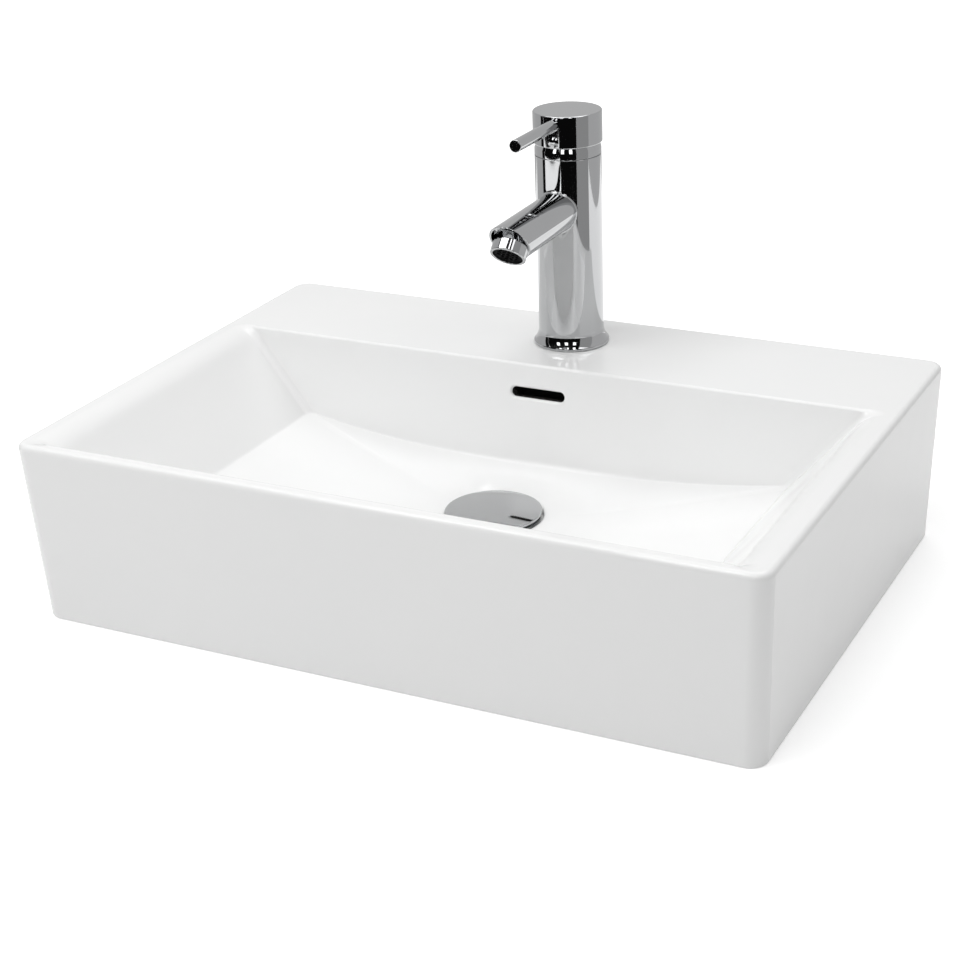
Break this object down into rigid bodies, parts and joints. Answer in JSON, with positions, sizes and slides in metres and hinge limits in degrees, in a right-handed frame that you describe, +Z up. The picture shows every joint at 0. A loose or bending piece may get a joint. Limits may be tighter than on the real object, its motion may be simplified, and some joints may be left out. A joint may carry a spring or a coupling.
{
  "type": "washbasin with mixer tap",
  "caption": "Rectangular ceramic counter washbasin with a rear tap deck, a chrome single-lever mixer tap, an overflow slot and a click waste.",
  "frame": {"origin": "middle of the base plane of the basin", "axes": "+Z up, -Y towards the user, +X to the user's right"},
  "size_m": [0.51, 0.36, 0.2918],
  "materials": {
    "glazed_ceramic": "gloss white glaze",
    "chrome": "mirror chrome plate",
    "brass": "machined",
    "steel": "machined",
    "black_rubber": "matt",
    "black_plastic": "matt",
    "white_plastic": "moulded",
    "blue_plastic": "moulded",
    "orange_plastic": "moulded",
    "disc_ceramic": "lapped"
  },
  "bodies": {
    "root": {"basin": "glazed_ceramic", "tap_body": "chrome", "aerator_housing": "chrome", "aerator_insert": "black_plastic", "aerator_washer_ring": "black_rubber", "collar": "chrome", "cartridge_nut": "brass", "cartridge_housing": "white_plastic", "cartridge_base": "white_plastic", "port_seal": "black_rubber", "fixed_disc": "disc_ceramic", "foot_seal": "black_rubber", "fixing_stud": "steel", "horseshoe_seal": "black_rubber", "horseshoe_plate": "steel", "stud_nut": "brass", "click_barrel": "white_plastic", "waste_body": "chrome", "flange_seal": "black_rubber", "lower_gasket": "black_rubber", "back_nut": "brass"},
    "swivel": {"rotor": "orange_plastic", "tilt_pin": "steel"},
    "handle": {"stem": "steel", "handle_cap": "chrome", "lever_pin": "chrome", "grub_screw": "steel", "index_plug": "chrome"},
    "disc_carrier": {"moving_disc": "disc_ceramic", "disc_driver": "blue_plastic"},
    "plug": {"plug_cap": "chrome", "plug_seal": "black_rubber", "plunger": "brass", "click_spring": "steel"},
    "cam": {"latch_cam": "orange_plastic"}
  },
  "joints": [
    {"name": "handle_turn", "type": "hinge", "parent": "root", "child": "swivel", "pos_m": [0, 0.129, 0.2615], "axis": [0, 0, 1], "range_deg": [-45, 45]},
    {"name": "handle_lift", "type": "hinge", "parent": "swivel", "child": "handle", "pos_m": [0, 0.129, 0.2615], "axis": [-1, 0, 0], "range_deg": [0, 22]},
    {"name": "disc_slide", "type": "slide", "parent": "swivel", "child": "disc_carrier", "axis": [0, -1, 0], "range_m": [0, 0.0038]},
    {"name": "plug_rise", "type": "slide", "parent": "root", "child": "plug", "axis": [0, 0, 1], "range_m": [0, 0.007], "deforming": ["click_spring"]},
    {"name": "cam_turn", "type": "hinge", "parent": "plug", "child": "cam", "pos_m": [0, -0.003, 0.022], "axis": [0, 0, 1], "range_deg": [0, 45.1]}
  ],
  "couplings": [
    {"joint": "disc_slide", "follows": "handle_lift", "m_per_rad": 0.00985},
    {"joint": "cam_turn", "follows": "plug_rise", "rad_per_m": 112.2}
  ]
}
